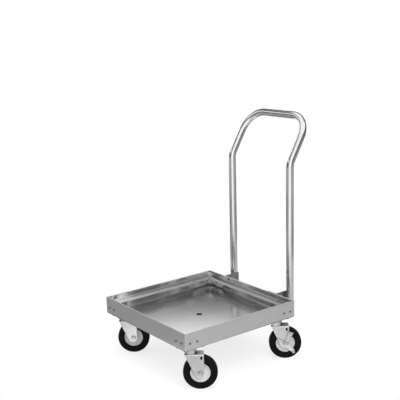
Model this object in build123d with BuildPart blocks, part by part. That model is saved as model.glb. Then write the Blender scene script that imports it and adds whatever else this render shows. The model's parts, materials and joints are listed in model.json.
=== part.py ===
from build123d import *
import os
from math import cos, radians, sin

# A dish rack dolly: an open square tray on four swivel casters, with a tubular push handle.
# The rear, with the handle, is +Y and the right side is +X. The casters rest at one swivel angle.

# Tray sheet metal
tray_width = 530.0
tray_depth = 530.0
wall_height = 65.0
wall_sheet = 1.5
floor_sheet = 1.5
rim_fold = 6.0
foot_flange = 9.0
drain_radius = 12.0
drain_collar = 8.0
drain_round = 1.2

# Rack ledge: a flat step, a short drop and a narrow foot below it
ledge_drop = 26.0
ledge_width = 16.0
ledge_lip = 6.0
ledge_foot = 10.0
ledge_sheet = 1.5

# Corner brackets
corner_sheet = 3.0
corner_leg = 100.0
corner_slant = 15.0
corner_floor_gap = 4.0
corner_top_gap = 1.0
first_bolt_inset = 22.0
corner_bolt_pitch = 32.0
corner_bolt_drop = 8.0
slant_share = 0.6

# Small bolts, shared by the corners and the handle
bolt_radius = 2.5
bolt_head_radius = 4.2
bolt_head_height = 2.4
nut_flats = 8.0
nut_height = 4.0
bolt_end = 2.0

# Handle
tube_radius = 15.0
tube_wall = 1.5
post_edge_gap = 90.0
post_setback = 63.0
bend_height = 754.0
bend_radius = 60.0
handle_tilt = 31.0
handle_slant = 203.0
handle_corner_radius = 91.0

# Handle brackets
bracket_sheet = 3.0
bracket_flange = 45.0
bracket_overhang = 11.0
bracket_bend = 3.0
bracket_foot_gap = 3.0
handle_bolt_drop = 12.0
handle_bolt_pitch = 42.0
weld_width = 4.0
weld_start = 4.0
weld_end = 9.0

# Caster mounting
plate_edge_gap_x = 14.0
plate_edge_gap_y = 9.0
swivel_angle = 52.0
trail = 34.0
plate_width = 60.0
plate_depth = 92.0
plate_sheet = 3.0
plate_corner = 6.0
plate_bolt_pitch_x = 45.0
plate_bolt_pitch_y = 76.0
plate_bolt_radius = 4.0
plate_bolt_head_radius = 6.5
plate_bolt_head_height = 3.0
plate_nut_flats = 13.0
plate_nut_height = 6.5

# Caster swivel
kingpin_radius = 5.0
kingpin_head_radius = 8.5
kingpin_head_height = 2.0
kingpin_foot_height = 4.0
ball_radius = 3.5
ball_circle = 14.0
ball_count = 10
ball_gap = 4.0
race_height = 13.5
race_radius = 19.2
cup_height = 10.0
cup_wall = 2.4
cup_skirt = 11.0

# Caster fork
fork_sheet = 3.0
tyre_gap = 7.0
wheel_side_gap = 2.0
leg_end_radius = 17.0
leg_end_shift = 3.0
fork_bend = 5.0
leg_slot_width = 8.0
leg_slot_height = 12.0
leg_slot_inset = 9.0
leg_slot_drop = 11.0

# Wheel and axle
wheel_radius = 63.5
wheel_width = 32.0
tyre_inner_radius = 37.0
tyre_shoulder = 5.0
hub_width = 27.0
hub_rim = 4.0
hub_web = 20.0
hub_boss_radius = 13.0
hub_side_gap = 0.5
bush_radius = 7.2
axle_radius = 4.75
axle_flats = 14.3
axle_head_height = 6.0
axle_nut_height = 8.0
washer_radius = 10.0
washer_sheet = 1.6

# Brake lever on the rear casters
lever_sheet = 2.5
lever_boss_radius = 11.0
lever_tab = 9.0

# Clearances
seat_gap = 0.05
running_gap = 0.05
hole_gap = 0.3
body_gap = 0.4

# Heights, from the floor up
axle_height = wheel_radius
crown_underside = wheel_radius + wheel_radius + tyre_gap
crown_top = crown_underside + fork_sheet
cup_top = crown_top + cup_height
ball_height = cup_top + ball_gap / 2
race_bottom = cup_top + ball_gap
plate_underside = race_bottom + race_height
plate_top = plate_underside + plate_sheet
wall_foot = plate_top + floor_sheet
rim_height = wall_foot + wall_height
flange_top = wall_foot + wall_sheet
ledge_top = rim_height - ledge_drop
ledge_underside = ledge_top - ledge_lip
corner_foot = flange_top + corner_floor_gap
corner_top = ledge_underside - corner_top_gap
corner_bolt_height = corner_top - corner_bolt_drop
second_bolt_inset = first_bolt_inset + corner_bolt_pitch
bracket_foot = wall_foot + bracket_foot_gap
upper_handle_bolt = rim_height - handle_bolt_drop
lower_handle_bolt = upper_handle_bolt - handle_bolt_pitch

# Widths of the caster, measured from the wheel's middle plane
fork_inside = wheel_width / 2 + wheel_side_gap
fork_outside = fork_inside + fork_sheet
lever_inside = fork_outside + body_gap
lever_outside = lever_inside + lever_sheet
cup_inside = race_radius + body_gap
cup_radius = cup_inside + cup_wall
leg_back = trail - leg_end_shift + leg_end_radius

# Places around the tray's centre
caster_x = tray_width / 2 - plate_edge_gap_x - plate_width / 2
caster_y = tray_depth / 2 - plate_edge_gap_y - plate_depth / 2
post_x = tray_width / 2 - post_edge_gap
post_y = tray_depth / 2 + post_setback
bracket_face = post_x - tube_radius - seat_gap
handle_bolt_x = bracket_face - bracket_flange / 2

# The tray's centre, placed so that the origin is under the middle of the whole object
swivel = radians(swivel_angle)
tyre_core = wheel_radius - tyre_shoulder
tyre_core_width = wheel_width / 2 - tyre_shoulder
wheel_reach = (trail + tyre_core) * cos(swivel) + tyre_core_width * sin(swivel) + tyre_shoulder
handle_top_y = post_y + handle_slant * sin(radians(handle_tilt))
handle_top_z = bend_height + handle_slant * cos(radians(handle_tilt))
left_reach = tray_width / 2 + bolt_head_height
right_reach = max(left_reach, caster_x + wheel_reach)
front_reach = tray_depth / 2 + bolt_head_height
rear_reach = handle_top_y + tube_radius
tray_place = Pos((left_reach - right_reach) / 2, (front_reach - rear_reach) / 2, 0)

# Name, quarter turn, length and distance from the centre of each side of the tray
sides = (
    ("front", 0, tray_width, tray_depth / 2),
    ("right", 90, tray_depth, tray_width / 2),
    ("rear", 180, tray_width, tray_depth / 2),
    ("left", 270, tray_depth, tray_width / 2),
)
# Name, side along X, side along Y and quarter turn of each corner of the tray
corners = (
    ("front_left", -1, -1, 0),
    ("front_right", 1, -1, 90),
    ("rear_right", 1, 1, 180),
    ("rear_left", -1, 1, 270),
)
braked = ("rear_left", "rear_right")

# Brake lever outline about the axle, as shares of the wheel's radius: the fin at the upper
# rear, the prong at the upper front and the pedal arm at the lower rear
fin_shares = ((-0.06, 0.13), (0.20, 0.80), (0.485, 0.71), (0.335, 0.41), (0.17, 0.05))
prong_shares = ((-0.08, 0.15), (-0.46, 0.40), (-0.49, 0.34), (-0.12, 0.06))
pedal_shares = ((0.17, 0.06), (0.52, -0.35), (0.56, -0.48), (0.42, -0.55), (-0.08, -0.14))
tab_shares = ((0.56, -0.48), (0.42, -0.55))


def write_piece(shape, name):
    """Label a finished piece and write it as its own file."""
    shape.label = name
    export_step(shape, f"parts/{name}.step")


def side_plane(distance):
    """The section plane of a rail at the front: X runs inward from the outer face, Y runs up."""
    return Plane(origin=(0, -distance, 0), x_dir=(0, 1, 0), z_dir=(1, 0, 0))


def mitre_plane(length, distance, end):
    """The 45 degree plane at one end of a rail at the front."""
    return Plane(origin=(end * length / 2, -distance, 0), z_dir=(-end, -1, 0))


def tray_wall(name, length, distance):
    """One wall with its folded rim and the flange that stands on the floor sheet."""
    with BuildPart() as wall:
        with BuildSketch(side_plane(distance)):
            with Locations((0, wall_foot)):
                Rectangle(wall_sheet, wall_height, align=Align.MIN)
                Rectangle(foot_flange, wall_sheet, align=Align.MIN)
            with Locations((0, rim_height)):
                Rectangle(2 * wall_sheet, rim_fold, align=(Align.MIN, Align.MAX))
        extrude(amount=length / 2, both=True)
        rim = wall.edges().filter_by(Axis.X).group_by(Axis.Z)[-1]
        fillet(rim, wall_sheet / 2)
        for end in (-1, 1):
            split(bisect_by=mitre_plane(length, distance, end), keep=Keep.TOP)
        with BuildSketch(Plane.XZ.offset(distance)):
            for inset in (first_bolt_inset, second_bolt_inset):
                with Locations(*[(end * (length / 2 - inset), corner_bolt_height) for end in (-1, 1)]):
                    Circle(bolt_radius + hole_gap)
            if name == "rear":
                heights = (lower_handle_bolt, upper_handle_bolt)
                with Locations(*[(side * handle_bolt_x, z) for side in (-1, 1) for z in heights]):
                    Circle(bolt_radius + hole_gap)
        extrude(amount=-2 * wall_sheet, mode=Mode.SUBTRACT)
    return wall.part


def rack_ledge(length, distance):
    """One stepped ledge: a leg on the wall, the flat step, its drop and the narrow foot."""
    with BuildPart() as ledge:
        with BuildSketch(side_plane(distance)):
            with Locations((wall_sheet + seat_gap, ledge_top)):
                Rectangle(ledge_sheet, ledge_lip, align=(Align.MIN, Align.MAX))
                Rectangle(ledge_width, ledge_sheet, align=(Align.MIN, Align.MAX))
            with Locations((wall_sheet + seat_gap + ledge_width, ledge_top)):
                Rectangle(ledge_sheet, ledge_lip, align=Align.MAX)
            with Locations((wall_sheet + seat_gap + ledge_width - ledge_sheet, ledge_underside)):
                Rectangle(ledge_foot, ledge_sheet, align=Align.MIN)
        extrude(amount=length / 2, both=True)
        step_edge = ledge.edges().filter_by(Axis.X).group_by(Axis.Z)[-1].sort_by(Axis.Y)[-1]
        fillet(step_edge, ledge_sheet / 2)
        for end in (-1, 1):
            split(bisect_by=mitre_plane(length, distance, end), keep=Keep.TOP)
    return ledge.part


def floor_pan():
    """The flat floor sheet with the holes for the caster plates and a drain pressed into a short collar."""
    with BuildPart() as floor:
        with BuildSketch(Plane.XY.offset(plate_top)):
            Rectangle(tray_width, tray_depth)
            Circle(drain_radius, mode=Mode.SUBTRACT)
            for name, side_x, side_y, turn in corners:
                with Locations((side_x * caster_x, side_y * caster_y)):
                    with GridLocations(plate_bolt_pitch_x, plate_bolt_pitch_y, 2, 2):
                        Circle(plate_bolt_radius + hole_gap, mode=Mode.SUBTRACT)
        extrude(amount=floor_sheet)
        with BuildSketch(Plane.XY.offset(plate_top)):
            Circle(drain_radius + floor_sheet)
            Circle(drain_radius, mode=Mode.SUBTRACT)
        extrude(amount=-drain_collar)
        drain_edges = floor.edges().filter_by(GeomType.CIRCLE).group_by(SortBy.RADIUS)[-2]
        fillet(drain_edges.sort_by(Axis.Z)[-1], drain_round)
    return floor.part


def leg_outline(plane):
    """One leg of a corner bracket, seen square on, with its slanted end and two bolt holes."""
    start = wall_sheet + seat_gap
    slant_height = (corner_top - corner_foot) * slant_share
    with BuildSketch(plane) as outline:
        with BuildLine():
            Polyline(
                (start, corner_foot),
                (corner_leg - corner_slant, corner_foot),
                (corner_leg, corner_foot + slant_height),
                (corner_leg, corner_top),
                (start, corner_top),
                close=True,
            )
        make_face()
        with Locations((first_bolt_inset, corner_bolt_height), (second_bolt_inset, corner_bolt_height)):
            Circle(bolt_radius + hole_gap, mode=Mode.SUBTRACT)
    return outline.sketch


def corner_bracket():
    """An angle of sheet inside a corner of the tray, with the outer corner at X = Y = 0."""
    start = wall_sheet + seat_gap
    across = leg_outline(Plane.XZ.offset(-start))
    along = leg_outline(Plane.YZ.offset(start))
    with BuildPart() as bracket:
        extrude(across, amount=-corner_sheet)
        extrude(along, amount=corner_sheet)
    return bracket.part


def bolt(radius, head_radius, head_height, length):
    """A low round-headed bolt whose head sits on Z = 0 and whose shank points down."""
    with BuildPart() as piece:
        with BuildSketch(Plane.XY):
            Circle(head_radius)
        extrude(amount=head_height)
        fillet(piece.edges().sort_by(Axis.Z)[-1], head_height * 2 / 3)
        with BuildSketch(Plane.XY):
            Circle(radius)
        extrude(amount=-length)
        chamfer(piece.edges().sort_by(Axis.Z)[0], radius / 6)
    return piece.part


def nut(radius, flats, height):
    """A hexagon nut that sits on Z = 0 and reaches down, bored to clear its bolt."""
    with BuildPart() as piece:
        with BuildSketch(Plane.XY):
            RegularPolygon(flats / 2, 6, major_radius=False)
            Circle(radius + seat_gap, mode=Mode.SUBTRACT)
        extrude(amount=-height)
    return piece.part


def corner_bolt_places():
    """Where each corner bolt enters its wall, with the head's direction as local Z."""
    places = []
    for side, turn, length, distance in sides:
        for inset in (first_bolt_inset, second_bolt_inset):
            for end in (-1, 1):
                x = end * (length / 2 - inset)
                places.append(Rot(0, 0, turn) * Pos(x, -distance, corner_bolt_height) * Rot(90, 0, 0))
    return places


def handle_bolt_places():
    """Where each handle bolt enters the rear wall from inside the tray."""
    inner_face = tray_depth / 2 - wall_sheet
    heights = (lower_handle_bolt, upper_handle_bolt)
    return [Pos(end * handle_bolt_x, inner_face, z) * Rot(90, 0, 0) for end in (-1, 1) for z in heights]


def plate_bolt_places():
    """Where each caster bolt enters the floor sheet from above."""
    places = []
    for name, side_x, side_y, turn in corners:
        for end_x in (-1, 1):
            for end_y in (-1, 1):
                x = side_x * caster_x + end_x * plate_bolt_pitch_x / 2
                y = side_y * caster_y + end_y * plate_bolt_pitch_y / 2
                places.append(Pos(x, y, wall_foot))
    return places


def group(piece, places):
    """Copies of one fastener, kept as separate solids."""
    return Compound(children=[tray_place * place * piece for place in places])


def handle_tube():
    """The bent push handle: two posts, a lean to the rear and a round-cornered top bar."""
    with BuildPart() as handle:
        with BuildLine() as path:
            FilletPolyline(
                (-post_x, post_y, bracket_foot),
                (-post_x, post_y, bend_height),
                (-post_x, handle_top_y, handle_top_z),
                (post_x, handle_top_y, handle_top_z),
                (post_x, post_y, bend_height),
                (post_x, post_y, bracket_foot),
                radius=(bend_radius, handle_corner_radius, handle_corner_radius, bend_radius),
            )
        with BuildSketch(Plane.XY.offset(bracket_foot)):
            with Locations((-post_x, post_y)):
                Circle(tube_radius)
                Circle(tube_radius - tube_wall, mode=Mode.SUBTRACT)
        sweep(path=path.wires()[0])
    return handle.part


def handle_bracket(side):
    """An angle of plate: one leg on the rear wall, the other along the inside of a post."""
    face = side * bracket_face
    root = tray_depth / 2
    bend = side * bracket_sheet
    with BuildPart() as bracket:
        with BuildSketch(Plane.XY.offset(bracket_foot)):
            with BuildLine():
                Polyline(
                    (face, root),
                    (face, post_y + bracket_overhang),
                    (face - bend, post_y + bracket_overhang),
                    (face - bend, root + bracket_sheet),
                    (face - side * bracket_flange, root + bracket_sheet),
                    (face - side * bracket_flange, root),
                    close=True,
                )
            make_face()
        extrude(amount=rim_height - bracket_foot)
        uprights = bracket.edges().filter_by(Axis.Z)
        heel = uprights.group_by(Axis.Y)[0].sort_by(Axis.X)[-1 if side > 0 else 0]
        fillet(heel, bracket_bend + bracket_sheet)
        throat = Vector(face - bend, root + bracket_sheet, rim_height)
        fillet(bracket.edges().filter_by(Axis.Z).sort_by_distance(throat)[0], bracket_bend)
        with BuildSketch(Plane.XZ.offset(-root)):
            with Locations(*[(side * handle_bolt_x, z) for z in (lower_handle_bolt, upper_handle_bolt)]):
                Circle(bolt_radius + hole_gap)
        extrude(amount=-bracket_sheet, mode=Mode.SUBTRACT)
    return bracket.part


def weld_bead(side, end):
    """The fillet of weld between a post and its bracket, on one side of the post."""
    near = bracket_face + seat_gap
    with BuildPart() as bead:
        with BuildSketch(Plane.XY.offset(bracket_foot + weld_width)):
            with BuildLine():
                Polyline(
                    (side * near, post_y + end * weld_start),
                    (side * near, post_y + end * weld_end),
                    (side * (near + weld_width), post_y + end * weld_end),
                    (side * (near + weld_width), post_y + end * weld_start),
                    close=True,
                )
            make_face()
            with Locations((side * post_x, post_y)):
                Circle(tube_radius + seat_gap, mode=Mode.SUBTRACT)
        extrude(amount=rim_height - bracket_foot - 2 * weld_width)
    return bead.part


def ball_track():
    """The ring that the swivel's balls roll in, cut from the races above and below them."""
    with BuildPart() as track:
        with BuildSketch(Plane.XZ):
            with Locations((ball_circle, ball_height)):
                Circle(ball_radius + seat_gap)
        revolve(axis=Axis.Z)
    return track.part


def caster_plate():
    """The fixed top plate with the upper race of the swivel below it."""
    track = ball_track()
    with BuildPart() as plate:
        with BuildSketch(Plane.XY.offset(plate_underside)):
            RectangleRounded(plate_width, plate_depth, plate_corner)
        extrude(amount=plate_sheet)
        with BuildSketch(Plane.XY.offset(race_bottom)):
            Circle(race_radius)
        extrude(amount=race_height)
        with BuildSketch(Plane.XY.offset(race_bottom)):
            Circle(kingpin_radius + seat_gap)
            with GridLocations(plate_bolt_pitch_x, plate_bolt_pitch_y, 2, 2):
                Circle(plate_bolt_radius + hole_gap)
        extrude(amount=plate_top - race_bottom, mode=Mode.SUBTRACT)
        with BuildSketch(Plane.XY.offset(plate_top)):
            Circle(kingpin_head_radius + hole_gap)
        extrude(amount=-kingpin_head_height - seat_gap, mode=Mode.SUBTRACT)
        add(track, mode=Mode.SUBTRACT)
    return plate.part


def kingpin():
    """The pin that holds the fork to the plate, with a sunk head and a broad foot."""
    foot = crown_underside - body_gap
    with BuildPart() as pin:
        with BuildSketch(Plane.XY.offset(foot)):
            Circle(kingpin_radius)
        extrude(amount=plate_top - foot)
        with BuildSketch(Plane.XY.offset(plate_top)):
            Circle(kingpin_head_radius)
        extrude(amount=-kingpin_head_height)
        with BuildSketch(Plane.XY.offset(foot)):
            Circle(kingpin_head_radius)
        extrude(amount=-kingpin_foot_height)
        fillet(pin.edges().sort_by(Axis.Z)[0], kingpin_foot_height / 2)
    return pin.part


def ball_ring():
    """The bearing balls of one swivel, evenly spaced round the kingpin."""
    with BuildPart() as ring:
        with Locations((0, 0, ball_height)):
            with PolarLocations(ball_circle, ball_count):
                Sphere(ball_radius)
    return ring.part


def fork():
    """The swivelling fork: a crown, two tapering legs and the cup of the lower race."""
    track = ball_track()
    with BuildPart() as body:
        with BuildSketch(Plane.XZ):
            with BuildLine():
                Line((-cup_radius, crown_top), (leg_back, crown_top))
            with Locations((trail - leg_end_shift, axle_height)):
                Circle(leg_end_radius)
            make_hull()
        extrude(amount=fork_outside, both=True)
        with BuildSketch(Plane.XZ):
            with Locations((0, crown_underside)):
                Rectangle(4 * wheel_radius, 2 * wheel_radius, align=(Align.CENTER, Align.MAX))
        extrude(amount=fork_inside, both=True, mode=Mode.SUBTRACT)
        fillet(body.edges().filter_by(Axis.X).group_by(Axis.Z)[-1], fork_bend)
        with BuildSketch(Plane.XY.offset(crown_top)):
            Circle(cup_radius)
        extrude(amount=cup_height + cup_skirt)
        with BuildSketch(Plane.XY.offset(cup_top)):
            Circle(cup_inside)
        extrude(amount=cup_skirt, mode=Mode.SUBTRACT)
        with BuildSketch(Plane.XY.offset(crown_underside)):
            Circle(kingpin_radius + running_gap)
        extrude(amount=fork_sheet + cup_height, mode=Mode.SUBTRACT)
        with BuildSketch(Plane.XZ):
            with Locations((trail, axle_height)):
                Circle(axle_radius + seat_gap)
            with Locations((leg_back - leg_slot_inset, crown_underside - leg_slot_drop)):
                SlotOverall(leg_slot_height, leg_slot_width, rotation=90)
        extrude(amount=fork_outside, both=True, mode=Mode.SUBTRACT)
        add(track, mode=Mode.SUBTRACT)
    return body.part


def wheel_section():
    """The plane through the axle in which a wheel's half section is drawn: X across, Y outward."""
    return Plane(origin=(trail, 0, axle_height), x_dir=(0, 1, 0), z_dir=(1, 0, 0))


def wheel_axis():
    """The line that a wheel turns about."""
    return Axis((trail, 0, axle_height), (0, 1, 0))


def tyre():
    """The solid tyre, with rounded shoulders."""
    with BuildPart() as ring:
        with BuildSketch(wheel_section()) as profile:
            with Locations((0, tyre_inner_radius + seat_gap)):
                depth = wheel_radius - tyre_inner_radius - seat_gap
                Rectangle(wheel_width, depth, align=(Align.CENTER, Align.MIN))
            fillet(profile.vertices().group_by(Axis.Y)[-1], tyre_shoulder)
        revolve(axis=wheel_axis())
    return ring.part


def hub():
    """The wheel's core: a long boss on the bush, a dished web and a rim for the tyre."""
    boss_width = 2 * (fork_inside - hub_side_gap)
    with BuildPart() as core:
        with BuildSketch(wheel_section()):
            Rectangle(boss_width, hub_boss_radius, align=(Align.CENTER, Align.MIN))
            Rectangle(hub_web, tyre_inner_radius, align=(Align.CENTER, Align.MIN))
            with Locations((0, tyre_inner_radius)):
                Rectangle(hub_width, hub_rim, align=(Align.CENTER, Align.MAX))
            Rectangle(2 * boss_width, bush_radius + running_gap, align=(Align.CENTER, Align.MIN),
                      mode=Mode.SUBTRACT)
        revolve(axis=wheel_axis())
    return core.part


def bush():
    """The sleeve round the axle, held between the fork's legs."""
    with BuildPart() as sleeve:
        with BuildSketch(Plane.XZ):
            with Locations((trail, axle_height)):
                Circle(bush_radius)
                Circle(axle_radius + seat_gap, mode=Mode.SUBTRACT)
        extrude(amount=fork_inside - seat_gap, both=True)
    return sleeve.part


def axle_set(nut_side):
    """The axle bolt, its two washers and its nut, where nut_side is how far out the nut sits."""
    bolt_end_y = nut_side + 2 * seat_gap + washer_sheet + axle_nut_height + bolt_end
    head_side = fork_outside + 2 * seat_gap + washer_sheet
    with BuildPart() as pin:
        with BuildSketch(Plane.XZ.offset(-head_side)):
            with Locations((trail, axle_height)):
                RegularPolygon(axle_flats / 2, 6, major_radius=False)
        extrude(amount=-axle_head_height)
        with BuildSketch(Plane.XZ.offset(-head_side)):
            with Locations((trail, axle_height)):
                Circle(axle_radius)
        extrude(amount=head_side + bolt_end_y)
    with BuildPart() as washers:
        for start in (-fork_outside - seat_gap, nut_side + seat_gap + washer_sheet):
            with BuildSketch(Plane.XZ.offset(start)):
                with Locations((trail, axle_height)):
                    Circle(washer_radius)
                    Circle(axle_radius + seat_gap, mode=Mode.SUBTRACT)
            extrude(amount=-washer_sheet)
    with BuildPart() as lock_nut:
        with BuildSketch(Plane.XZ.offset(nut_side + washer_sheet + 2 * seat_gap)):
            with Locations((trail, axle_height)):
                RegularPolygon(axle_flats / 2, 6, major_radius=False)
                Circle(axle_radius + seat_gap, mode=Mode.SUBTRACT)
        extrude(amount=axle_nut_height)
    return Compound(children=[pin.part, *washers.part.solids(), lock_nut.part])


def lever_points(shares):
    """Points of the brake lever from shares of the wheel's radius, measured from the axle."""
    return [(trail + x * wheel_radius, axle_height + z * wheel_radius) for x, z in shares]


def brake_lever():
    """The stamped brake plate beside the fork, with a fin, a prong and a bent pedal tab."""
    with BuildPart() as lever:
        with BuildSketch(Plane.XZ.offset(lever_inside)):
            with Locations((trail, axle_height)):
                Circle(lever_boss_radius)
            for shares in (fin_shares, prong_shares, pedal_shares):
                with BuildLine():
                    Polyline(*lever_points(shares), close=True)
                make_face()
        extrude(amount=lever_sheet)
        with BuildSketch(Plane.XZ.offset(lever_inside)):
            with Locations((trail, axle_height)):
                Circle(axle_radius + running_gap)
        extrude(amount=lever_sheet, mode=Mode.SUBTRACT)
        tab_start, tab_finish = lever_points(tab_shares)
        with BuildSketch(Plane.XZ.offset(lever_inside)):
            with BuildLine() as tab_line:
                Line(tab_start, tab_finish)
            trace(tab_line.line, lever_sheet)
        extrude(amount=lever_sheet + lever_tab)
    return lever.part


def write_tray():
    """The tray's sheet metal, its corner brackets and their fasteners."""
    for side, turn, length, distance in sides:
        turned = tray_place * Rot(0, 0, turn)
        write_piece(turned * tray_wall(side, length, distance), f"wall_{side}")
        write_piece(turned * rack_ledge(length, distance), f"ledge_{side}")
    write_piece(tray_place * floor_pan(), "floor_pan")
    angle = corner_bracket()
    for name, side_x, side_y, turn in corners:
        corner = Pos(side_x * tray_width / 2, side_y * tray_depth / 2, 0)
        write_piece(tray_place * corner * Rot(0, 0, turn) * angle, f"corner_bracket_{name}")
    grip = wall_sheet + 2 * seat_gap + corner_sheet
    small_nut = nut(bolt_radius, nut_flats, nut_height)
    corner_length = grip + nut_height + bolt_end
    corner_bolt = bolt(bolt_radius, bolt_head_radius, bolt_head_height, corner_length)
    write_piece(group(corner_bolt, corner_bolt_places()), "corner_bolts")
    nut_places = [place * Pos(0, 0, -grip) for place in corner_bolt_places()]
    write_piece(group(small_nut, nut_places), "corner_nuts")


def write_handle():
    """The push handle, its brackets, welds and fasteners."""
    write_piece(tray_place * handle_tube(), "handle_tube")
    for name, side in (("left", -1), ("right", 1)):
        write_piece(tray_place * handle_bracket(side), f"handle_bracket_{name}")
    beads = [tray_place * weld_bead(side, end) for side in (-1, 1) for end in (-1, 1)]
    write_piece(Compound(children=beads), "handle_welds")
    grip = wall_sheet + seat_gap + bracket_sheet
    small_nut = nut(bolt_radius, nut_flats, nut_height)
    handle_bolt = bolt(bolt_radius, bolt_head_radius, bolt_head_height, grip + nut_height + bolt_end)
    write_piece(group(handle_bolt, handle_bolt_places()), "handle_bolts")
    nut_places = [place * Pos(0, 0, -grip - seat_gap) for place in handle_bolt_places()]
    write_piece(group(small_nut, nut_places), "handle_nuts")


def write_casters():
    """The four casters, with a brake lever on each rear one."""
    plate_places = [tray_place * Pos(x * caster_x, y * caster_y, 0) for name, x, y, turn in corners]
    pieces = {
        "fork": fork(),
        "bush": bush(),
        "hub": hub(),
        "tyre": tyre(),
    }
    fixed = caster_plate()
    lever = brake_lever()
    plain_axle = axle_set(fork_outside)
    braked_axle = axle_set(lever_outside + body_gap)
    for (name, *_), place in zip(corners, plate_places):
        write_piece(place * fixed, f"caster_plate_{name}")
        turned = place * Rot(0, 0, swivel_angle)
        for kind, piece in pieces.items():
            write_piece(turned * piece, f"{kind}_{name}")
        write_piece(turned * (braked_axle if name in braked else plain_axle), f"axle_{name}")
        if name in braked:
            write_piece(turned * lever, f"brake_lever_{name}")
    pin = kingpin()
    write_piece(Compound(children=[place * pin for place in plate_places]), "kingpins")
    balls = [place * ball for place in plate_places for ball in ball_ring().solids()]
    write_piece(Compound(children=balls), "swivel_balls")
    grip = floor_sheet + plate_sheet
    head = (plate_bolt_head_radius, plate_bolt_head_height)
    plate_bolt = bolt(plate_bolt_radius, *head, grip + seat_gap + plate_nut_height + bolt_end)
    write_piece(group(plate_bolt, plate_bolt_places()), "plate_bolts")
    plate_nut = nut(plate_bolt_radius, plate_nut_flats, plate_nut_height)
    nut_places = [place * Pos(0, 0, -grip - seat_gap) for place in plate_bolt_places()]
    write_piece(group(plate_nut, nut_places), "plate_nuts")


os.makedirs("parts", exist_ok=True)
write_tray()
write_handle()
write_casters()
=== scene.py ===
import json
import logging
from dataclasses import KW_ONLY, dataclass
from enum import Enum, IntEnum
from math import cos, pi, radians, sin

import bmesh
import bpy
from mathutils import Matrix, Vector


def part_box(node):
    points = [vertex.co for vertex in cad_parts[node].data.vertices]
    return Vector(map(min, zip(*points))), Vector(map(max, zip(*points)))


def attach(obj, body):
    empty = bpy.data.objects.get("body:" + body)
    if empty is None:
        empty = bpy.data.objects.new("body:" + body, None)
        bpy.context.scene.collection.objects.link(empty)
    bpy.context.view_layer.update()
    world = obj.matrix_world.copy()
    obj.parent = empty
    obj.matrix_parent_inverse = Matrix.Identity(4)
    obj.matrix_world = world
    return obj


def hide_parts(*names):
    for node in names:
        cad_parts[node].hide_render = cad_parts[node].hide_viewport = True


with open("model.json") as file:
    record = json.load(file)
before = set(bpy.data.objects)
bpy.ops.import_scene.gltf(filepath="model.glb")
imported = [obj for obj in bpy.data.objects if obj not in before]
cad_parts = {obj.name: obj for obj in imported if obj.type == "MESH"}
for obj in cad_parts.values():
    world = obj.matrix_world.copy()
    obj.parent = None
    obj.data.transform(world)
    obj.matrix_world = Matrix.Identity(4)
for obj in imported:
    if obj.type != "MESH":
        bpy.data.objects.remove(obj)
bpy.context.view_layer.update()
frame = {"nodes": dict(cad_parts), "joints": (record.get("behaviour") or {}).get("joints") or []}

Pair = tuple[float, float]
Triple = tuple[float, float, float]
Colour = tuple[float, float, float, float]
Outline = list[Pair]
Socket = bpy.types.NodeSocket

LOG = logging.getLogger("dolly")
CORNERS = ("front_left", "front_right", "rear_right", "rear_left")
SIDES = ("front", "right", "rear", "left")
SIDES_ALONG_X = ("front", "rear")
UP = Vector((0.0, 0.0, 1.0))
WHITE = (1.0, 1.0, 1.0, 1.0)
MERGE_DISTANCE = 1e-6
FLAT_FACE = 0.0008
ROUND_PROFILE = 0.5
HEXAGON_SHARE = cos(pi / 6)
BRUSHED_SHARE = 0.005
RIPPLED_SHARE = 0.1
NEAR_SIDE = (0.95, 0.31, 0.0)
FAR_SIDE = (0.797, -0.605, 0.0)


class Grain(Enum):
    """How a texture is drawn out, as the share of its scale along each axis."""

    ALONG_X = (BRUSHED_SHARE, 1.0, 1.0)
    ALONG_Y = (1.0, BRUSHED_SHARE, 1.0)
    ALONG_Z = (1.0, 1.0, BRUSHED_SHARE)
    RIPPLED = (RIPPLED_SHARE, RIPPLED_SHARE, 1.0)
    EVEN = (1.0, 1.0, 1.0)


class MixSocket(IntEnum):
    """The colour sockets of a mix node by number, because several share a name."""

    FACTOR = 0
    FIRST = 6
    SECOND = 7
    RESULT = 2


@dataclass(frozen=True)
class Noise:
    """Noise on Object coordinates: its features in a metre, its octaves and whether it has a grain."""

    scale: float
    detail: float
    grained: bool = False
    roughness: float = 0.55


@dataclass(frozen=True)
class Shade:
    """Painted shade inside an upright hole in a sheet."""

    middle: Vector
    radius: float
    tone: float


def grey(tone: float, warmth: float = 0.0) -> Colour:
    """Mix a grey with a slight warm or cool cast.

    Args:
        tone: The grey's linear value.
        warmth: Above zero is warmer, below is cooler.

    Returns:
        The colour and its alpha of one.
    """
    return (tone * (1 + warmth), tone, tone * (1 - warmth), 1.0)


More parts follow.
